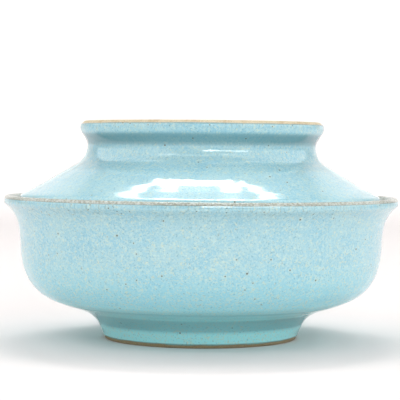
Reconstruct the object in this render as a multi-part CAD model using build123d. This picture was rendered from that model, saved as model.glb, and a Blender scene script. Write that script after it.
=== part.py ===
"""Lidded rice bowl in glazed stoneware, millimetres.

Two thrown pieces. The bowl has a foot ring, a low wide belly, a drawn-in
throat and a flared lip. The lid is a shallow dome with a waisted grip ring,
which is also the lid's own foot when it is turned over. The lid's rounded edge
rests in the flare inside the bowl's lip.

Frame: Z is the axis of both pieces and points up, and z = 0 is the surface
that the foot ring stands on.
"""

from build123d import *
import os
import math

# ---------------------------------------------------------------- dimensions
RIM_R = 70.0  # widest radius, at the nose of the bowl's lip
BOWL_H = 50.1  # foot underside to the top of the lip
LIP_NOSE_R = 1.2  # rounding radius of the lip's nose
LIP_LEAN_OUT = 39.5  # degrees from vertical of the flare's outside where it meets the nose
LIP_LEAN_IN = 51.0  # and of its inside

FOOT_FLAT_IN = 30.6  # flat bearing face of the foot ring, inner radius
FOOT_FLAT_OUT = 33.6  # and outer radius
FOOT_EDGE_R = 0.8  # rounding of the foot ring's edges
FOOT_RECESS = 5.7  # height of the recess under the bowl at its centre
FLOOR_Z = 10.9  # top of the bowl's floor at its centre

LID_TOP = 77.1  # foot underside to the top of the grip ring
GRIP_R = 43.42  # widest radius of the grip ring
GRIP_NECK_R = 40.79  # radius of the waist below it, at its narrowest station
GRIP_FLAT_IN = 39.6  # flat top of the grip ring, inner radius
GRIP_FLAT_OUT = 41.6  # and outer radius
GRIP_FLOOR_Z = 67.6  # floor of the recess inside the grip ring, at its centre
DOME_Z = 63.6  # underside of the lid at its centre

EDGE_NOSE_R = 1.6  # rounding radius of the lid's edge
EDGE_R = 63.75  # widest radius of the lid's edge
EDGE_Z = 46.52  # height of the centre of that rounding with the lid on, 0.1 mm clear of the flare

# Stations (radius, height) along the bowl's outside, foot to lip.
BOWL_OUTER = [
    (35.54, 3.61),
    (37.14, 6.53),
    (39.26, 8.61),
    (42.39, 10.26),
    (46.49, 11.62),
    (50.71, 12.94),
    (54.52, 14.58),
    (57.71, 16.71),
    (60.25, 19.38),
    (62.17, 22.63),
    (63.46, 26.37),
    (64.14, 30.49),
    (64.41, 34.9),
    (64.81, 39.14),
    (65.8, 42.72),
    (67.4, 45.49),
]
# Stations along the bowl's inside, lip to centre.
BOWL_INNER = [
    (64.85, 47.09),
    (62.69, 44.18),
    (61.38, 40.77),
    (60.8, 36.65),
    (60.59, 32.08),
    (59.98, 27.92),
    (58.65, 24.33),
    (56.6, 21.39),
    (53.79, 19.04),
    (50.11, 17.18),
    (45.86, 15.74),
    (41.4, 14.58),
    (36.89, 13.62),
    (27.75, 12.24),
    (18.53, 11.43),
    (9.27, 11.02),
]
# Stations under the bowl, centre to the foot ring's inner wall.
BOWL_UNDER = [
    (22.0, 5.35),
    (26.4, 4.8),
    (28.5, 3.7),
    (29.5, 2.2),
]
# Stations along the lid's outside, edge to grip ring.
LID_OUTER = [
    (63.62, 49.36),
    (63.05, 50.74),
    (61.69, 52.02),
    (60.55, 52.66),
    (57.99, 53.98),
    (54.0, 56.2),
    (50.09, 58.57),
    (46.12, 60.95),
    (42.94, 63.05),
    (41.56, 64.79),
    (GRIP_NECK_R, 67.34),
    (40.85, 69.43),
    (41.82, 71.44),
    (43.26, 73.93),
    (GRIP_R, 75.04),
    (43.17, 75.89),
    (42.56, 76.62),
]
# Stations inside the grip ring, top to centre.
GRIP_INNER = [
    (38.79, 76.28),
    (38.03, 74.28),
    (37.16, 70.64),
    (36.09, 68.89),
    (34.3, 67.8),
    (31.6, 67.35),
    (24.0, 67.38),
    (12.0, 67.53),
]
# Stations under the lid, centre to edge.
LID_UNDER = [
    (12.0, 63.45),
    (23.5, 62.88),
    (32.8, 61.84),
    (37.2, 60.74),
    (41.45, 59.11),
    (45.56, 57.0),
    (49.62, 54.6),
    (53.7, 52.2),
    (57.6, 49.9),
    (59.17, 48.96),
]


def unit(v):
    n = math.hypot(*v)
    return (v[0] / n, v[1] / n)


def arc(a, b, t):
    """The arc from a to b that leaves a along the unit vector t, or the straight line if they are in line."""
    c = (b[0] - a[0], b[1] - a[1])
    length = math.hypot(*c)
    c = (c[0] / length, c[1] / length)
    turn = math.atan2(c[0] * t[1] - c[1] * t[0], c[0] * t[0] + c[1] * t[1])
    if abs(turn) < 1e-4:
        return Line(a, b)
    bulge = length / 2 * math.tan(turn / 2)
    mid = ((a[0] + b[0]) / 2 - c[1] * bulge, (a[1] + b[1]) / 2 + c[0] * bulge)
    return ThreePointArc(a, mid, b)


def biarc(a, b, ta, tb):
    """Two arcs from a to b that meet smoothly, leave along ta and arrive along tb."""
    v = (b[0] - a[0], b[1] - a[1])
    s = (ta[0] + tb[0], ta[1] + tb[1])
    vs = v[0] * s[0] + v[1] * s[1]
    vv = v[0] ** 2 + v[1] ** 2
    k = 2 * (1 - ta[0] * tb[0] - ta[1] * tb[1])
    if k < 1e-9:
        d = vv / (2 * vs)
    else:
        d = (math.sqrt(vs * vs + k * vv) - vs) / k
    m = (
        (a[0] + b[0] + d * (ta[0] - tb[0])) / 2,
        (a[1] + b[1] + d * (ta[1] - tb[1])) / 2,
    )
    tm = unit((m[0] - a[0] - d * ta[0], m[1] - a[1] - d * ta[1]))
    return [arc(a, m, ta), arc(m, b, tm)]


def smooth(points, start, end):
    """Smooth chain of arcs through points, with unit tangents start and end at its ends."""
    tangents = [unit(start)]
    for p, q, r in zip(points, points[1:], points[2:]):
        u, v = (q[0] - p[0], q[1] - p[1]), (r[0] - q[0], r[1] - q[1])
        uu, vv = u[0] ** 2 + u[1] ** 2, v[0] ** 2 + v[1] ** 2
        tangents.append(unit((u[0] / uu + v[0] / vv, u[1] / uu + v[1] / vv)))
    tangents.append(unit(end))
    edges = []
    for a, b, ta, tb in zip(points, points[1:], tangents, tangents[1:]):
        edges += biarc(a, b, ta, tb)
    return edges


def revolved(edges):
    """Closed profile in the XZ plane, turned once around Z."""
    with BuildPart() as p:
        with BuildSketch(Plane.XZ):
            with BuildLine():
                for e in edges:
                    add(e)
            make_face()
        revolve(axis=Axis.Z)
    return p.part


def bowl():
    r = LIP_NOSE_R
    nose = (RIM_R - r, BOWL_H - r)
    a, b = math.radians(LIP_LEAN_OUT), math.radians(LIP_LEAN_IN)
    up, down = (math.sin(a), math.cos(a)), (-math.sin(b), -math.cos(b))
    out = (nose[0] + r * math.cos(a), nose[1] - r * math.sin(a))
    inn = (nose[0] - r * math.cos(b), nose[1] + r * math.sin(b))
    tip = (nose[0] + r * math.sin(a), nose[1] + r * math.cos(a))
    foot_start = (FOOT_FLAT_OUT + FOOT_EDGE_R, FOOT_EDGE_R)
    under_end = (FOOT_FLAT_IN - FOOT_EDGE_R, FOOT_EDGE_R)
    k = FOOT_EDGE_R * (1 - math.sqrt(0.5))
    return revolved(
        smooth([foot_start] + BOWL_OUTER + [out], (0.3, 1), up)
        + [ThreePointArc(out, tip, inn)]
        + smooth([inn] + BOWL_INNER + [(0, FLOOR_Z)], down, (-1, 0))
        + [Line((0, FLOOR_Z), (0, FOOT_RECESS))]
        + smooth([(0, FOOT_RECESS)] + BOWL_UNDER + [under_end], (1, 0), (0.1, -1))
        + [
            ThreePointArc(
                under_end, (under_end[0] + k, k), (FOOT_FLAT_IN, 0)
            ),
            Line((FOOT_FLAT_IN, 0), (FOOT_FLAT_OUT, 0)),
            ThreePointArc(
                (FOOT_FLAT_OUT, 0), (foot_start[0] - k, k), foot_start
            ),
        ]
    )


def lid():
    r = EDGE_NOSE_R
    nose = (EDGE_R - r, EDGE_Z)
    out = (nose[0] + r, nose[1])
    inn = (nose[0] - r, nose[1])
    low = (nose[0], nose[1] - r)
    top_out, top_in = (GRIP_FLAT_OUT, LID_TOP), (GRIP_FLAT_IN, LID_TOP)
    return revolved(
        smooth([out] + LID_OUTER + [top_out], (0, 1), (-1, 0))
        + [Line(top_out, top_in)]
        + smooth([top_in] + GRIP_INNER + [(0, GRIP_FLOOR_Z)], (-1, 0), (-1, 0))
        + [Line((0, GRIP_FLOOR_Z), (0, DOME_Z))]
        + smooth([(0, DOME_Z)] + LID_UNDER + [inn], (1, 0), (0, -1))
        + [ThreePointArc(inn, low, out)]
    )


NODES = {"bowl": bowl(), "lid": lid()}

os.makedirs("parts", exist_ok=True)
for name, solid in NODES.items():
    export_step(solid, f"parts/{name}.step")
    box = solid.bounding_box()
    print(
        f"{name}: {solid.volume / 1000:.1f} cm3, "
        f"{box.size.X:.2f} x {box.size.Y:.2f} x {box.size.Z:.2f} mm, "
        f"z {box.min.Z:.2f} to {box.max.Z:.2f}"
    )
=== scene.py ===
"""Looks of the lidded rice bowl: two thrown stoneware pieces with a mottled sky-blue glaze, in a white studio."""

import math

import bpy
import numpy as np
from mathutils import Matrix, Vector


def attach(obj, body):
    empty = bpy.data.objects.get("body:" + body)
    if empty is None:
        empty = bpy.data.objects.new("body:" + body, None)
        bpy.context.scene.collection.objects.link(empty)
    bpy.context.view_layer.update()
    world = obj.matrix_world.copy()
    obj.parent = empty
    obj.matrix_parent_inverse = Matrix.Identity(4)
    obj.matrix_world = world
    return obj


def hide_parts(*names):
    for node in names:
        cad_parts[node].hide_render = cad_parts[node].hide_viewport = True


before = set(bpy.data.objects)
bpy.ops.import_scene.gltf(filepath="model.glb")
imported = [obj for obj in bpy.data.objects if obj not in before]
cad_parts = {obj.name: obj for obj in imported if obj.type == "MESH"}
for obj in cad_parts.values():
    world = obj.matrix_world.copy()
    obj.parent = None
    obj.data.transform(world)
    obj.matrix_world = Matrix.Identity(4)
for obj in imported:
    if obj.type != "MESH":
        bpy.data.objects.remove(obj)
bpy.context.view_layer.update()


# ------------------------------------------------------------- profiles (mm)
RIM_R, BOWL_H, LIP_R = 70.0, 50.1, 1.2
LEAN_OUT, LEAN_IN = math.radians(39.5), math.radians(51.0)
FOOT_IN, FOOT_OUT, FOOT_EDGE = 30.6, 33.6, 0.8
FOOT_RECESS, FLOOR_Z = 5.7, 10.9
LID_TOP, GRIP_IN, GRIP_OUT = 77.1, 39.6, 41.6
GRIP_FLOOR, DOME_Z = 67.6, 63.6
EDGE_NOSE, EDGE_R, EDGE_Z = 1.6, 63.75, 46.52

BOWL_OUTER = [
    (35.54, 3.61), (37.14, 6.53), (39.26, 8.61), (42.39, 10.26), (46.49, 11.62),
    (50.71, 12.94), (54.52, 14.58), (57.71, 16.71), (60.25, 19.38), (62.17, 22.63),
    (63.46, 26.37), (64.14, 30.49), (64.41, 34.9), (64.81, 39.14), (65.8, 42.72),
    (67.4, 45.49),
]
BOWL_INNER = [
    (64.85, 47.09), (62.69, 44.18), (61.38, 40.77), (60.8, 36.65), (60.59, 32.08),
    (59.98, 27.92), (58.65, 24.33), (56.6, 21.39), (53.79, 19.04), (50.11, 17.18),
    (45.86, 15.74), (41.4, 14.58), (36.89, 13.62), (27.75, 12.24), (18.53, 11.43),
    (9.27, 11.02),
]
BOWL_UNDER = [(22.0, 5.35), (26.4, 4.8), (28.5, 3.7), (29.5, 2.2)]
LID_OUTER = [
    (63.75, 49.36), (63.95, 50.1), (63.9, 50.55), (63.7, 50.88), (63.35, 51.14), (62.7, 51.49), (61.8, 51.96), (60.55, 52.62), (57.99, 53.98),
    (54.0, 56.2), (50.09, 58.57), (46.12, 60.95), (42.94, 63.05), (41.56, 64.79),
    (40.79, 67.34), (40.85, 69.43), (41.82, 71.44), (43.26, 73.93), (43.42, 75.04),
    (43.17, 75.89), (42.56, 76.62),
]
GRIP_INNER = [
    (38.79, 76.28), (38.03, 74.28), (37.16, 70.64), (36.09, 68.89), (34.3, 67.8),
    (31.6, 67.35), (24.0, 67.38), (12.0, 67.53),
]
LID_UNDER = [
    (12.0, 63.45), (23.5, 62.88), (32.8, 61.84), (37.2, 60.74), (41.45, 59.11),
    (45.56, 57.0), (49.62, 54.6), (53.7, 52.2), (57.6, 49.9), (59.17, 48.96),
]


def unit(v):
    v = np.asarray(v, float)
    return v / np.hypot(*v)


def arc(a, b, t, step=0.03):
    """Points along the arc that leaves a along t and ends at b, without its last point."""
    c = unit(b - a)
    length = np.hypot(*(b - a))
    turn = math.atan2(c[0] * t[1] - c[1] * t[0], float(c @ t))
    n = max(2, int(length / step))
    u = np.arange(n) / n
    if abs(turn) < 1e-4:
        return a + np.outer(u, b - a)
    r = length / (2 * math.sin(turn))
    centre = a + r * np.array([t[1], -t[0]])
    ang = -2 * turn * u
    d = a - centre
    return centre + np.stack(
        [d[0] * np.cos(ang) - d[1] * np.sin(ang), d[0] * np.sin(ang) + d[1] * np.cos(ang)], 1
    )


def smooth(points, start, end):
    """The same chain of tangent arcs that the CAD profile is made of."""
    p = [np.asarray(q, float) for q in points]
    tan = [unit(start)]
    for a, b, c in zip(p, p[1:], p[2:]):
        u, v = b - a, c - b
        tan.append(unit(u / (u @ u) + v / (v @ v)))
    tan.append(unit(end))
    out = []
    for a, b, ta, tb in zip(p, p[1:], tan, tan[1:]):
        v, s = b - a, ta + tb
        k = 2 * (1 - ta @ tb)
        d = (v @ v) / (2 * (v @ s)) if k < 1e-9 else (math.sqrt((v @ s) ** 2 + k * (v @ v)) - v @ s) / k
        m = (a + b + d * (ta - tb)) / 2
        out += [arc(a, m, ta), arc(m, b, unit(m - a - d * ta))]
    return np.concatenate(out)


def through(a, mid, b):
    """Points of the arc through three points, without the last."""
    a, mid, b = (np.asarray(q, float) for q in (a, mid, b))
    (ax, ay), (bx, by), (cx, cy) = a, mid, b
    d = 2 * (ax * (by - cy) + bx * (cy - ay) + cx * (ay - by))
    o = np.array([
        ((a @ a) * (by - cy) + (mid @ mid) * (cy - ay) + (b @ b) * (ay - by)) / d,
        ((a @ a) * (cx - bx) + (mid @ mid) * (ax - cx) + (b @ b) * (bx - ax)) / d,
    ])
    t = np.array([-(a - o)[1], (a - o)[0]])
    if t @ (mid - a) < 0:
        t = -t
    return arc(a, b, unit(t))


def straight(a, b):
    a, b = np.asarray(a, float), np.asarray(b, float)
    return arc(a, b, unit(b - a))


class Profile:
    """Half section as a fine polyline with arc length, outward normal and curvature."""

    def __init__(self, parts, last):
        self.marks, s, pts = {}, 0.0, []
        joined = []
        for name, p in parts:
            joined.append(p)
        nxt = [p[0] for _, p in parts[1:]] + [np.asarray(last, float)]
        for (name, p), q in zip(parts, nxt):
            self.marks[name] = s
            run = np.vstack([p, q])
            s += np.hypot(*np.diff(run, axis=0).T).sum()
        self.marks["end"] = s
        pts = np.vstack(joined + [np.asarray(last, float)[None]])
        ds = np.hypot(*np.diff(pts, axis=0).T)
        keep = np.r_[True, ds > 1e-7]
        pts = pts[keep]
        self.s = np.r_[0, np.cumsum(np.hypot(*np.diff(pts, axis=0).T))]
        self.p = pts
        t = np.gradient(pts, self.s, axis=0)
        t /= np.hypot(*t.T)[:, None]
        n = np.stack([t[:, 1], -t[:, 0]], 1)
        self.n = n
        ang = np.unwrap(np.arctan2(t[:, 1], t[:, 0]))
        grid = np.arange(0, self.s[-1], 0.05)
        a = np.interp(grid, self.s, ang)
        k = np.gradient(a, grid)
        w = np.exp(-0.5 * (np.arange(-60, 61) * 0.05 / 0.7) ** 2)
        self.grid, self.k = grid, np.convolve(np.pad(k, 60, mode="edge"), w / w.sum(), "valid")
        self.length = self.s[-1]

    def at(self, s):
        r = np.interp(s, self.s, self.p[:, 0])
        z = np.interp(s, self.s, self.p[:, 1])
        nr = np.interp(s, self.s, self.n[:, 0])
        nz = np.interp(s, self.s, self.n[:, 1])
        return r, z, nr, nz

    def bend(self, s):
        return np.interp(s, self.grid, self.k)

    def where(self, first, last, z, rising):
        """Arc length between two marks where the profile passes height z."""
        m = (self.s >= self.marks[first]) & (self.s <= self.marks[last])
        s, h = self.s[m], self.p[m, 1]
        return float(np.interp(z, h, s) if rising else np.interp(-z, -h, s))


def bowl_profile():
    nose = np.array([RIM_R - LIP_R, BOWL_H - LIP_R])
    out = nose + LIP_R * np.array([math.cos(LEAN_OUT), -math.sin(LEAN_OUT)])
    inn = nose + LIP_R * np.array([-math.cos(LEAN_IN), math.sin(LEAN_IN)])
    tip = nose + LIP_R * np.array([math.sin(LEAN_OUT), math.cos(LEAN_OUT)])
    k = FOOT_EDGE * (1 - math.sqrt(0.5))
    a, b = (FOOT_IN - FOOT_EDGE, FOOT_EDGE), (FOOT_OUT + FOOT_EDGE, FOOT_EDGE)
    return Profile(
        [
            ("under", smooth([(0, FOOT_RECESS)] + BOWL_UNDER + [a], (1, 0), (0.1, -1))),
            ("foot_in", through(a, (a[0] + k, k), (FOOT_IN, 0))),
            ("foot", straight((FOOT_IN, 0), (FOOT_OUT, 0))),
            ("foot_out", through((FOOT_OUT, 0), (b[0] - k, k), b)),
            ("outer", smooth([b] + BOWL_OUTER + [out], (0.3, 1), (math.sin(LEAN_OUT), math.cos(LEAN_OUT)))),
            ("lip", through(out, tip, inn)),
            ("inner", smooth([inn] + BOWL_INNER + [(0, FLOOR_Z)], (-math.sin(LEAN_IN), -math.cos(LEAN_IN)), (-1, 0))),
        ],
        (0, FLOOR_Z),
    )


def lid_profile():
    nose = (EDGE_R - EDGE_NOSE, EDGE_Z)
    out, inn = (EDGE_R, EDGE_Z), (EDGE_R - 2 * EDGE_NOSE, EDGE_Z)
    return Profile(
        [
            ("under", smooth([(0, DOME_Z)] + LID_UNDER + [inn], (1, 0), (0, -1))),
            ("edge", through(inn, (nose[0], nose[1] - EDGE_NOSE), out)),
            ("outer", smooth([out] + LID_OUTER + [(GRIP_OUT, LID_TOP)], (0, 1), (-1, 0))),
            ("top", straight((GRIP_OUT, LID_TOP), (GRIP_IN, LID_TOP))),
            ("recess", smooth([(GRIP_IN, LID_TOP)] + GRIP_INNER + [(0, GRIP_FLOOR)], (-1, 0), (-1, 0))),
        ],
        (0, GRIP_FLOOR),
    )


# ------------------------------------------------------------ small helpers
def step(a, b, x):
    t = np.clip((x - a) / (b - a), 0, 1)
    return t * t * (3 - 2 * t)


def ripple(theta, terms):
    """A closed wave around the axis: sum of amplitude * cos(n * theta + phase)."""
    return sum(a * np.cos(n * theta + p) for n, a, p in terms)


def rows(prof, coarse, zones):
    """Arc lengths of the rings: coarse spacing, finer in zones of (centre, half width, spacing)."""
    grid = np.arange(0, prof.length, 0.02)
    h = np.full(grid.shape, coarse)
    for c, w, fine in zones:
        d = np.abs(grid - c)
        h = np.minimum(h, fine + (coarse - fine) * step(w, w + 4.0, d))
    n = np.r_[0, np.cumsum(0.02 / h)]
    count = int(round(n[-1]))
    edges = np.r_[grid, prof.length]
    return np.interp(np.linspace(0, n[-1], count + 1), n, edges)


SECTORS = 288
THETA = np.arange(SECTORS) * 2 * math.pi / SECTORS


def whole(x, y, z):
    """The kiln's and the wheel's slow distortions, one field for both pieces so that their fit stays as it is."""
    r, th = np.hypot(x, y), np.arctan2(y, x)
    up = step(6, 44, z)
    oval = 1 + up * (-0.0011 + ripple(th, [(2, 0.0007, 0.6), (3, 0.0003, 2.1)]))
    sink = -up * (0.0042 * (x + 62) * 0.5 + 0.10 * (1 + ripple(th, [(2, 1.0, 2.4)])) * step(40, 68, r))
    return x * oval, y * oval, z + sink


def lathe(name, prof, s, shift, press, after, clay, flare, thin, pools_and_shade):
    """Closed mesh of rings. shift(s, theta) slides a ring along the profile, press(s, theta, normals) moves it along
    its normal, after(x, y, z) bends the whole piece; clay = (first, last) arc length of the unglazed band, flare and
    thin = four arc lengths between which runs and the break over a lip fade in and out; thin ends with its strength,
    and so does each band of the last list, which marks the hollows of the profile for painted shade and painted dark
    reflection over glaze that lies a little deeper there.
    """
    S, T = np.meshgrid(s[1:-1], THETA, indexing="ij")
    S = S + shift(S, T)
    r, z, nr, nz = prof.at(S)
    d = press(S, T, nr, nz)
    r, z = r + d * nr, z + d * nz
    x, y, z = after(r * np.cos(T), r * np.sin(T), z)
    n, m = S.shape
    r0, z0, _, nz0 = prof.at(np.array([0.0, prof.length]))
    ends = [after(np.array(0.0), np.array(0.0), np.array(float(z0[i]))) for i in (0, 1)]
    co = np.empty((n * m + 2, 3))
    co[: n * m] = np.stack([x, y, z], -1).reshape(-1, 3)
    co[n * m], co[n * m + 1] = ends[0], ends[1]
    i, j = np.meshgrid(np.arange(n - 1), np.arange(m), indexing="ij")
    k = (j + 1) % m
    quads = np.stack([i * m + j, i * m + k, (i + 1) * m + k, (i + 1) * m + j], -1).reshape(-1, 4)
    jj = np.arange(m)
    kk = (jj + 1) % m
    fan0 = np.stack([np.full(m, n * m), kk, jj], -1)
    fan1 = np.stack([np.full(m, n * m + 1), (n - 1) * m + jj, (n - 1) * m + kk], -1)
    faces = [tuple(f) for f in fan0] + [tuple(f) for f in quads] + [tuple(f) for f in fan1]
    mesh = bpy.data.meshes.new(name)
    mesh.from_pydata((co / 1000).tolist(), [], faces)
    mesh.update()
    mesh.polygons.foreach_set("use_smooth", [True] * len(mesh.polygons))
    mid = (s[1:-2] + s[2:-1]) / 2
    bare = (mid > clay[0]) & (mid < clay[1])
    index = np.zeros(len(mesh.polygons), np.int32)
    index[m : m + (n - 1) * m] = np.repeat(bare, m)
    mesh.polygons.foreach_set("material_index", index)
    def attribute(label, values, v0, v1):
        a = mesh.attributes.new(label, "FLOAT", "POINT")
        a.data.foreach_set("value", np.r_[values.reshape(-1), v0, v1].astype(np.float32))

    attribute("thin", step(thin[0], thin[1], S) * (1 - step(thin[2], thin[3], S)) * thin[4], 0.0, 0.0)
    # bands in the hollows of the profile, for painted shade and painted dark reflection over slightly deeper glaze
    attribute("pool_and_shade", sum(g * step(a, b, S) * (1 - step(c, d, S)) for a, b, c, d, g in pools_and_shade), 0.0, 0.0)
    attribute("edge", np.minimum(np.abs(S - clay[0]), np.abs(S - clay[1])), 50.0, 50.0)
    attribute("flare", step(flare[0], flare[1], S) * (1 - step(flare[2], flare[3], S)), 0.0, 0.0)
    mesh.validate()
    ob = bpy.data.objects.new(name, mesh)
    bpy.context.collection.objects.link(ob)
    return ob


def turned(s, t, wave, amp, phase):
    """A throwing ridge that climbs one wave length each turn."""
    return amp * np.sin(2 * math.pi * s / wave - t + phase)


# --------------------------------------------------------------------- bowl
BP = bowl_profile()
B_IN = BP.where("under", "foot_in", 1.35, False)
B_OUT = BP.where("outer", "lip", 1.15, True)
B_RIM = (BP.marks["lip"] + BP.marks["inner"]) / 2
B_SEAT = BP.where("inner", "end", 45.6, False)
glaze_in = [(5, 0.11, 0.4), (11, 0.08, 2.0), (23, 0.05, 4.0)]
glaze_out = [(3, 0.10, 1.1), (7, 0.09, 3.0), (16, 0.07, 0.3), (31, 0.04, 5.0)]


def bowl_shift(s, t):
    return ripple(t, glaze_in) * np.exp(-(((s - B_IN) / 1.6) ** 2)) * (s < BP.marks["foot"]) + ripple(
        t, glaze_out
    ) * np.exp(-(((s - B_OUT) / 1.6) ** 2)) * (s > BP.marks["foot_out"])


def step_at(s, edge, side):
    """Signed distance from a glaze edge, positive on the glazed side."""
    return (s - edge) * side


def glaze_edge(d):
    """Surface height near a glaze edge at signed distance d: bare clay lies lower, and the glaze ends in a soft roll."""
    return -0.15 * (1 - step(-0.12, 0.16, d)) + 0.07 * np.exp(-(((d - 0.55) / 0.5) ** 2)) * (d > -0.2)


def bowl_press(s, t, nr, nz):
    q = s - bowl_shift(s, t)
    d = np.zeros_like(s)
    near = np.abs(nr)
    low = s < (BP.marks["foot"] + BP.marks["foot_out"]) / 2
    d += np.where(low, glaze_edge(step_at(q, B_IN, -1)), glaze_edge(step_at(q, B_OUT, 1))) * near * (
        (s > B_IN - 4) & (s < B_OUT + 4)
    )
    outside = step(B_OUT + 3, B_OUT + 9, s) * (1 - step(BP.marks["lip"] - 3, BP.marks["lip"] - 0.5, s))
    inside = step(BP.marks["inner"] + 12, BP.marks["inner"] + 22, s)
    d += outside * (turned(s, t, 5.3, 0.022, 0.3) + turned(s, t, 3.1, 0.012, 2.0) - 0.034)
    d += inside * (turned(s, t, 6.2, 0.05, 1.0) + turned(s, t, 3.7, 0.02, 4.0) - 0.07)
    under = 1 - step(B_IN - 6, B_IN - 2, s)
    d += under * (turned(s, t, 2.6, 0.035, 0.0) - 0.035)
    return d


s_bowl = rows(
    BP,
    0.95,
    [(B_IN, 1.2, 0.11), (B_OUT, 1.2, 0.11), ((B_IN + B_OUT) / 2, 2.0, 0.35), (B_RIM, 4.6, 0.17), (B_SEAT, 2.0, 0.5)],
)
for edge in (B_IN, B_OUT):
    s_bowl[np.argmin(np.abs(s_bowl - edge))] = edge
B_RUN = BP.marks["lip"]


def at_bowl(z):
    return BP.where("outer", "lip", z, True)


def bowl_after(x, y, z):
    """The rim is a little taller than its roll alone: the crest stands higher and the nose hangs lower."""
    lip = 0.62 * step(48.8, BOWL_H, z) - 0.3 * step(46.2, 48.5, z) * (1 - step(48.9, 50.0, z))
    return whole(x, y, z + lip * step(62, 66, np.hypot(x, y)))


bowl = lathe(
    "bowl_glazed",
    BP,
    s_bowl,
    bowl_shift,
    bowl_press,
    bowl_after,
    (B_IN, B_OUT),
    (B_RUN - 6, B_RUN - 1, B_RUN + 1.1, B_RUN + 1.7),
    (B_RUN + 1.15, B_RUN + 1.65, B_RUN + 3.9, B_RUN + 4.9, 0.95),
    # painted shade under the belly: a strong band on the upper foot ring, a weak one above it and a thin dark line on
    # the belly's underside
    [
        (at_bowl(4.6), at_bowl(6.2), at_bowl(9.4), at_bowl(10.4), 0.72),
        (at_bowl(9.4), at_bowl(10.4), at_bowl(12.2), at_bowl(15.5), 0.22),
        (at_bowl(12.45), at_bowl(12.6), at_bowl(12.8), at_bowl(12.95), 0.4),
    ],
)

# ---------------------------------------------------------------------- lid
LP = lid_profile()
L_OUT = LP.where("outer", "top", 76.2, True)
L_IN = LP.where("recess", "end", 76.2, False)
L_EDGE = (LP.marks["edge"] + LP.marks["outer"]) / 2
lid_out = [(4, 0.07, 0.7), (9, 0.05, 2.2), (19, 0.04, 1.0)]
lid_in = [(3, 0.09, 2.7), (8, 0.07, 0.2), (17, 0.05, 4.1)]


def lid_shift(s, t):
    mid = (LP.marks["top"] + LP.marks["recess"]) / 2
    return ripple(t, lid_out) * np.exp(-(((s - L_OUT) / 1.2) ** 2)) * (s < mid) + ripple(t, lid_in) * np.exp(
        -(((s - L_IN) / 1.2) ** 2)
    ) * (s > mid)


def lid_press(s, t, nr, nz):
    q = s - lid_shift(s, t)
    mid = (LP.marks["top"] + LP.marks["recess"]) / 2
    d = np.where(q < mid, glaze_edge(step_at(q, L_OUT, -1)), glaze_edge(step_at(q, L_IN, 1))) * (
        (s > L_OUT - 4) & (s < L_IN + 4)
    )
    d = d * np.abs(nr) * 0.9
    outside = step(LP.marks["outer"] + 5, LP.marks["outer"] + 12, s) * (1 - step(L_OUT - 6, L_OUT - 3, s))
    inside = 1 - step(LP.marks["edge"] - 12, LP.marks["edge"] - 5, s)
    top = step(L_IN + 5, L_IN + 9, s)
    d += outside * (turned(s, t, 4.9, 0.007, 1.0) + turned(s, t, 2.9, 0.002, 0.0) - 0.009)
    d += inside * (turned(s, t, 5.8, 0.045, 2.0) - 0.045)
    d += top * (turned(s, t, 4.2, 0.022, 3.0) + turned(s, t, 2.4, 0.008, 1.0) - 0.03)
    return d


def at_lid(z):
    return LP.where("outer", "top", z, True)


def lid_after(x, y, z):
    move = -0.45 * step(46.9, 49.6, z) * (1 - step(54, 68, z)) + 0.15 * step(66, 74, z)
    return whole(x + move, y, z)


s_lid = rows(
    LP,
    0.9,
    [(L_OUT, 1.2, 0.11), (L_IN, 1.2, 0.11), ((L_IN + L_OUT) / 2, 2.0, 0.3), (L_EDGE, 3.5, 0.3)],
)
for edge in (L_OUT, L_IN):
    s_lid[np.argmin(np.abs(s_lid - edge))] = edge
lid = lathe(
    "lid_glazed",
    LP,
    s_lid,
    lid_shift,
    lid_press,
    lid_after,
    (L_OUT, L_IN),
    (L_OUT - 2.5, L_OUT - 0.8, L_OUT, L_OUT + 1),
    (L_EDGE - 2.4, L_EDGE - 1.0, L_EDGE + 0.2, L_EDGE + 1.6, 0.8),
    # painted shade and painted dark reflection: a strong band under the grip ring's lip and a weak one at the foot of
    # the neck
    [
        (at_lid(68.0), at_lid(69.6), at_lid(71.8), at_lid(73.4), 1.0),
        (at_lid(59.4), at_lid(61.0), at_lid(62.4), at_lid(63.8), 0.22),
    ],
)


# ---------------------------------------------------------------- materials
def lin(r, g, b):
    """Linear colour from an 8-bit display colour."""
    return tuple(
        (c / 12.92 if c <= 0.04045 else ((c + 0.055) / 1.055) ** 2.4) for c in (r / 255, g / 255, b / 255)
    ) + (1.0,)


DEPTH = 0.97


def tone(r, g, b):
    """Surface colour that looks like this display colour under the studio's light, which is brighter than white."""
    return tuple(c * DEPTH for c in lin(r, g, b)[:3]) + (1.0,)


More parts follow.
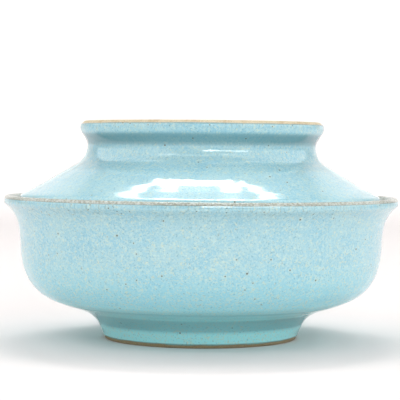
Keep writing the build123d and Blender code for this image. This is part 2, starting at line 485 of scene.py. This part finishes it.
class Nodes:
    def __init__(self, name):
        self.mat = bpy.data.materials.new(name)
        self.mat.use_nodes = True
        self.t = self.mat.node_tree
        self.t.nodes.clear()
        self.x = 0

    def new(self, kind, **props):
        n = self.t.nodes.new(kind)
        self.x += 40
        n.location = (self.x, 0)
        for k, v in props.items():
            setattr(n, k, v)
        return n

    def put(self, value, socket):
        if isinstance(value, bpy.types.NodeSocket):
            self.t.links.new(value, socket)
        else:
            socket.default_value = value

    def math(self, op, a, b=0.0, c=0.0, clamp=False):
        n = self.new("ShaderNodeMath", operation=op, use_clamp=clamp)
        for v, s in zip((a, b, c), n.inputs):
            self.put(v, s)
        return n.outputs[0]

    def vmath(self, op, a, b=(0, 0, 0)):
        n = self.new("ShaderNodeVectorMath", operation=op)
        self.put(a, n.inputs[0])
        self.put(b, n.inputs[1])
        return n.outputs[0]

    def noise(self, vector, scale, detail=2.0, rough=0.5, distortion=0.0):
        n = self.new("ShaderNodeTexNoise")
        n.noise_dimensions = "3D"
        self.put(vector, n.inputs["Vector"])
        n.inputs["Scale"].default_value = scale
        n.inputs["Detail"].default_value = detail
        n.inputs["Roughness"].default_value = rough
        n.inputs["Distortion"].default_value = distortion
        return n.outputs["Fac"]

    def cells(self, vector, scale, randomness=1.0):
        n = self.new("ShaderNodeTexVoronoi", feature="F1")
        self.put(vector, n.inputs["Vector"])
        n.inputs["Scale"].default_value = scale
        n.inputs["Randomness"].default_value = randomness
        return n.outputs["Distance"], n.outputs["Color"]

    def ramp(self, value, a, b, lo=0.0, hi=1.0):
        n = self.new("ShaderNodeMapRange", interpolation_type="SMOOTHSTEP")
        self.put(value, n.inputs["Value"])
        for k, v in zip(("From Min", "From Max", "To Min", "To Max"), (a, b, lo, hi)):
            n.inputs[k].default_value = v
        return n.outputs["Result"]

    def mix(self, fac, a, b, blend="MIX"):
        n = self.new("ShaderNodeMix", data_type="RGBA", blend_type=blend)
        n.clamp_factor = True
        self.put(fac, n.inputs["Factor"])
        self.put(a, n.inputs[6])
        self.put(b, n.inputs[7])
        return n.outputs[2]

    def attribute(self, name):
        n = self.new("ShaderNodeAttribute", attribute_type="GEOMETRY", attribute_name=name)
        return n.outputs["Fac"]

    def split(self, vector):
        n = self.new("ShaderNodeSeparateXYZ")
        self.put(vector, n.inputs[0])
        return n.outputs

    def bump(self, height, strength, distance, normal=None):
        n = self.new("ShaderNodeBump")
        n.inputs["Strength"].default_value = strength
        n.inputs["Distance"].default_value = distance
        self.put(height, n.inputs["Height"])
        if normal is not None:
            self.put(normal, n.inputs["Normal"])
        return n.outputs[0]

    def finish(self, shader):
        out = self.new("ShaderNodeOutputMaterial")
        self.t.links.new(shader, out.inputs["Surface"])
        return self.mat


def glaze_material():
    g = Nodes("sky_blue_glaze")
    where = g.new("ShaderNodeTexCoord").outputs["Object"]
    p = g.vmath("MULTIPLY", where, (1000, 1000, 1000))
    x, y, z = g.split(p)
    thin, pool_and_shade, edge = g.attribute("thin"), g.attribute("pool_and_shade"), g.attribute("edge")
    flare = g.attribute("flare")

    def shifted(dx, dy, dz):
        return g.vmath("ADD", p, (dx, dy, dz))

    broad = g.noise(p, 0.10, 2.0, 0.5)
    mid = g.noise(shifted(3.0, 9.0, 1.0), 0.50, 3.0, 0.6)
    fine = g.noise(p, 1.45, 3.0, 0.7)
    low = g.ramp(z, 42, 22)

    # body colour: a fine mottle of deep and pale blue with slower drifts
    grain = g.noise(shifted(61.2, 4.4, 19.5), 2.4, 2.0, 0.6)
    col = g.mix(g.ramp(fine, 0.29, 0.71), tone(146, 200, 217), tone(188, 226, 230))
    col = g.mix(g.math("MULTIPLY", g.ramp(grain, 0.42, 0.62), 0.22), col, tone(206, 236, 236))
    col = g.mix(g.math("MULTIPLY", g.ramp(mid, 0.36, 0.64), 0.45), col, tone(146, 206, 227))
    col = g.mix(g.math("MULTIPLY", g.ramp(broad, 0.35, 0.7), 0.22), col, tone(200, 230, 226))

    # painted light: lighter and bluer towards the foot, standing in for light bounced up from the floor
    col = g.mix(g.math("MULTIPLY", g.ramp(z, 34, 10), 0.85), col, tone(158, 232, 246))

    # painted light: palest of all round the ring foot, brightened against the shadow it stands in
    col = g.mix(g.math("MULTIPLY", g.ramp(z, 18, 9), 0.85), col, tone(178, 252, 255))

    # painted sheen: paler on the lid's slope, standing in for the lamplight it mirrors
    slope = g.math("MULTIPLY", g.ramp(z, 51, 53), g.ramp(z, 62, 58))
    col = g.mix(g.math("MULTIPLY", slope, 0.12), col, tone(216, 240, 244))

    # pale and cream flecks in loose clusters, thicker low on the belly
    crowd = g.math("ADD", g.math("MULTIPLY", g.ramp(mid, 0.6, 0.35), 0.06), g.math("MULTIPLY", low, 0.02))
    pale = g.ramp(g.math("ADD", g.noise(shifted(5.1, 77.2, 3.3), 1.3, 2.0, 0.6), crowd), 0.585, 0.70)
    col = g.mix(g.math("MULTIPLY", pale, 0.45), col, tone(214, 236, 228))
    fleck = g.ramp(g.math("ADD", g.noise(shifted(31.7, 8.3, 90.1), 1.45, 1.0, 0.5), crowd), 0.66, 0.72)
    col = g.mix(g.math("MULTIPLY", fleck, 0.55), col, tone(224, 230, 200))
    dusk = g.ramp(g.noise(shifted(-41.3, 12.9, 27.7), 1.7, 1.5, 0.6), 0.60, 0.70)
    col = g.mix(g.math("MULTIPLY", dusk, 0.50), col, tone(116, 166, 184))

    # glaze lies a little deeper and smoother in the hollows of the profile, and there it is darkened further with
    # painted shade and painted dark reflection; towards x = 0 the band at the foot of the lid's neck fades out and the
    # others are a little weaker
    middle = g.ramp(g.math("ABSOLUTE", x), 32, 6)
    waist = g.math("MULTIPLY", g.math("MULTIPLY", g.ramp(z, 58, 60), g.ramp(z, 66, 64)), middle)
    hollow_shade = g.math("MULTIPLY", pool_and_shade, g.math("MULTIPLY_ADD", waist, -0.9, 0.80))
    hollow_shade = g.math("MAXIMUM", g.math("MULTIPLY", hollow_shade, g.math("MULTIPLY_ADD", middle, -0.14, 1.0)), 0.0)
    col = g.mix(hollow_shade, col, tone(76, 134, 144))

    # under the flared lip it has run down in thin grey streaks
    runs = g.noise(g.vmath("MULTIPLY", p, (1.5, 1.5, 0.16)), 1.0, 2.0, 0.6)
    streak = g.math("MULTIPLY", g.math("MULTIPLY", flare, g.ramp(runs, 0.50, 0.74)), g.ramp(broad, 0.3, 0.6))
    col = g.mix(g.math("MULTIPLY", streak, 0.5), col, tone(128, 152, 152))

    # thin glaze on the sharp turns lets the clay through, with a darker border
    worn = g.math("ADD", thin, g.math("MULTIPLY_ADD", mid, 0.4, -0.2))
    worn = g.math("ADD", worn, g.math("MULTIPLY_ADD", fine, 0.3, -0.15))
    border = g.math("MULTIPLY", g.ramp(worn, 0.36, 0.54), g.ramp(worn, 0.74, 0.58))
    col = g.mix(g.math("MULTIPLY", border, 0.9), col, tone(104, 114, 102))
    beige = g.mix(g.ramp(g.noise(shifted(8, 3, 5), 1.2, 3.0, 0.7), 0.40, 0.62), tone(162, 162, 146), tone(206, 210, 202))
    col = g.mix(g.ramp(worn, 0.52, 0.74, 0.0, 0.92), col, beige)

    # iron specks of uneven size, each in a small pale halo
    dist, tint = g.cells(p, 0.34)
    cr, cg, cb = g.split(tint)
    some = g.math("GREATER_THAN", cr, 0.58)
    size = g.math("MULTIPLY_ADD", cg, 0.075, 0.035)
    gap = g.math("SUBTRACT", dist, size)
    halo = g.math("MULTIPLY", g.math("MULTIPLY", g.ramp(gap, 0.22, 0.02), some), g.ramp(pool_and_shade, 0.5, 0.1))
    col = g.mix(g.math("MULTIPLY", halo, 0.2), col, tone(220, 220, 196))
    speck = g.math("MULTIPLY", g.ramp(gap, 0.035, -0.025), some)
    col = g.mix(g.math("MULTIPLY", speck, 0.85), col, tone(84, 84, 68))
    # and a dust of tiny pits near the lip
    dist2, tint2 = g.cells(p, 0.75)
    r2, g2, b2 = g.split(tint2)
    near = g.math("MAXIMUM", flare, thin)
    dust = g.math("MULTIPLY", g.ramp(dist2, 0.24, 0.13), g.math("GREATER_THAN", r2, 0.80))
    dust = g.math("MULTIPLY", dust, near)
    col = g.mix(g.math("MULTIPLY", dust, 0.75), col, tone(96, 84, 62))

    # the last half millimetre before bare clay is a dark greenish line
    rim = g.ramp(edge, 0.75, 0.1)
    col = g.mix(g.math("MULTIPLY", rim, 0.6), col, tone(84, 104, 92))

    pits = g.math("MAXIMUM", speck, dust)
    height = g.math("ADD", g.math("MULTIPLY", g.noise(p, 0.8, 2.0, 0.5), 0.5), g.math("MULTIPLY", pits, -0.6))
    normal = g.bump(height, 0.2, 0.00003)
    rough = g.math("MULTIPLY_ADD", fine, 0.05, 0.06)
    rough = g.math("MULTIPLY_ADD", worn, 0.10, rough)
    bsdf = g.new("ShaderNodeBsdfPrincipled")
    g.put(col, bsdf.inputs["Base Color"])
    g.put(rough, bsdf.inputs["Roughness"])
    g.put(normal, bsdf.inputs["Normal"])
    bsdf.inputs["IOR"].default_value = 1.62
    return g.finish(bsdf.outputs[0])


def clay_material():
    g = Nodes("bare_clay")
    where = g.new("ShaderNodeTexCoord").outputs["Object"]
    p = g.vmath("MULTIPLY", where, (1000, 1000, 1000))
    x, y, z = g.split(p)
    grain = g.noise(p, 3.2, 3.0, 0.7)
    patch = g.noise(p, 0.35, 3.0, 0.6)
    # painted shade: low on the foot ring, which stands in shadow, the bare clay is a darker copy of the warm buff on
    # the grip ring's top
    dark = g.mix(g.ramp(grain, 0.3, 0.7), tone(138, 122, 94), tone(176, 158, 124))
    warm = g.mix(g.ramp(grain, 0.3, 0.7), tone(192, 178, 146), tone(226, 214, 184))
    col = g.mix(g.ramp(z, 20, 60), dark, warm)
    col = g.mix(g.math("MULTIPLY", g.ramp(patch, 0.45, 0.7), 0.4), col, tone(170, 142, 100))
    dist, tint = g.cells(p, 0.9)
    cr, cg, cb = g.split(tint)
    speck = g.math("MULTIPLY", g.ramp(dist, 0.16, 0.08), g.math("GREATER_THAN", cr, 0.75))
    col = g.mix(g.math("MULTIPLY", speck, 0.65), col, tone(84, 66, 46))
    height = g.math("ADD", grain, g.math("MULTIPLY", speck, -0.5))
    normal = g.bump(height, 0.6, 0.00012)
    rough = g.math("MULTIPLY_ADD", grain, 0.2, 0.66)
    bsdf = g.new("ShaderNodeBsdfPrincipled")
    g.put(col, bsdf.inputs["Base Color"])
    g.put(rough, bsdf.inputs["Roughness"])
    g.put(normal, bsdf.inputs["Normal"])
    bsdf.inputs["IOR"].default_value = 1.45
    return g.finish(bsdf.outputs[0])


GLAZE, CLAY = glaze_material(), clay_material()
for ob, body, node in ((bowl, "bowl_body", "bowl"), (lid, "lid_body", "lid")):
    ob.data.materials.append(GLAZE)
    ob.data.materials.append(CLAY)
    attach(ob, body)
    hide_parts(node)

# ------------------------------------------------------------------- studio
def sweep():
    """White floor that curves up into a backdrop."""
    run = [(-4.0, 0.0), (1.4, 0.0)]
    run += [(1.4 + 0.9 * math.sin(a), 0.9 - 0.9 * math.cos(a)) for a in np.linspace(0.08, math.pi / 2, 20)]
    run += [(2.3, 1.9)]
    co = [(x, y, z) for y, z in run for x in (-4.0, 4.0)]
    faces = [(2 * i, 2 * i + 1, 2 * i + 3, 2 * i + 2) for i in range(len(run) - 1)]
    mesh = bpy.data.meshes.new("sweep")
    mesh.from_pydata(co, [], faces)
    mesh.polygons.foreach_set("use_smooth", [True] * len(faces))
    ob = bpy.data.objects.new("sweep", mesh)
    bpy.context.collection.objects.link(ob)
    g = Nodes("white_paper")
    bsdf = g.new("ShaderNodeBsdfDiffuse")
    bsdf.inputs["Color"].default_value = (0.82, 0.785, 0.775, 1)
    mesh.materials.append(g.finish(bsdf.outputs[0]))
    return ob


sweep()


def softbox(name, at, aim, size, power, shape="RECTANGLE"):
    data = bpy.data.lights.new(name, "AREA")
    data.shape = shape
    data.size, data.size_y = size
    data.energy = power
    ob = bpy.data.objects.new(name, data)
    bpy.context.collection.objects.link(ob)
    ob.location = at
    ob.rotation_euler = (Vector(aim) - Vector(at)).to_track_quat("-Z", "Y").to_euler()
    ob.visible_camera = False
    return ob


def polar(azimuth, elevation, distance, centre=(0, 0, 0.05)):
    """Place seen from the bowl: azimuth 0 is towards the camera, positive to its right."""
    a, e = math.radians(azimuth), math.radians(elevation)
    return (
        centre[0] + distance * math.cos(e) * math.sin(a),
        centre[1] - distance * math.cos(e) * math.cos(a),
        centre[2] + distance * math.sin(e),
    )


AIM = (0, 0, 0.05)


def lamp(name, azimuth, elevation, distance, wide, high, radiance, shape="RECTANGLE"):
    """Soft lamp facing the bowl, given by its angles in degrees and its brightness against white."""
    size = (2 * distance * math.tan(math.radians(wide / 2)), 2 * distance * math.tan(math.radians(high / 2)))
    area = size[0] * size[1] * (math.pi / 4 if shape == "ELLIPSE" else 1.0)
    return softbox(name, polar(azimuth, elevation, distance), AIM, size, radiance * math.pi * area, shape)


# the large lamp behind the bowl is an arch of smaller ones with a weaker glow inside it
lamp("arch_top", 180, 63.5, 5.0, 15.6, 3.9, 30.0, "ELLIPSE")
for side, turn in (("left", 1), ("right", -1)):
    lamp("arch_corner_" + side, 180 + 14.8 * turn, 59.6, 5.0, 6.2, 3.6, 22.0, "ELLIPSE")
    lamp("arch_leg_" + side, 180 + 18.8 * turn, 51.6, 5.0, 1.4, 12.6, 12.0)
lamp("arch_glow", 180, 54.5, 5.0, 18, 12, 0.8, "ELLIPSE")
lamp("tail_left", 180 + 31, 47, 5.0, 4, 3, 7.0, "ELLIPSE")
lamp("top_back", 180, 78, 1.6, 60, 24, 2.6)
lamp("front_right_a", 9, 20, 1.8, 17, 7, 11.0)
lamp("front_right_b", 33, 20, 1.8, 26, 7, 5.0)
lamp("front_top", -10, 45, 1.8, 60, 3.5, 5.0)
lamp("front_fill", 0, 12, 2.4, 110, 40, 0.2)
lamp("side_left", -82, 33, 1.2, 90, 50, 1.35)
lamp("side_right", 82, 33, 1.2, 90, 50, 1.3)
softbox("wall_wash", (0, 1.2, 1.2), (0, 2.3, 0.85), (3.0, 0.4), 20)

world = bpy.data.worlds.new("white_room")
bpy.context.scene.world = world
world.use_nodes = True
bg = world.node_tree.nodes["Background"]
bg.inputs["Color"].default_value = (1, 1, 1, 1)
bg.inputs["Strength"].default_value = 0.06

cam_data = bpy.data.cameras.new("camera")
cam_data.sensor_width = 36.0
cam_data.lens = 145.08
cam_data.clip_start, cam_data.clip_end = 0.02, 30
cam = bpy.data.objects.new("camera", cam_data)
bpy.context.collection.objects.link(cam)
cam.matrix_world = (
    Matrix.Translation((-0.00046, -0.5757, 0.0665))
    @ Matrix.Rotation(math.radians(90 - 1.73), 4, "X")
    @ Matrix.Rotation(math.radians(0.38), 4, "Z")
)
bpy.context.scene.camera = cam

view = bpy.context.scene.view_settings
view.view_transform = "Standard"
view.look = "None"
view.exposure = 0.0
view.gamma = 1.0
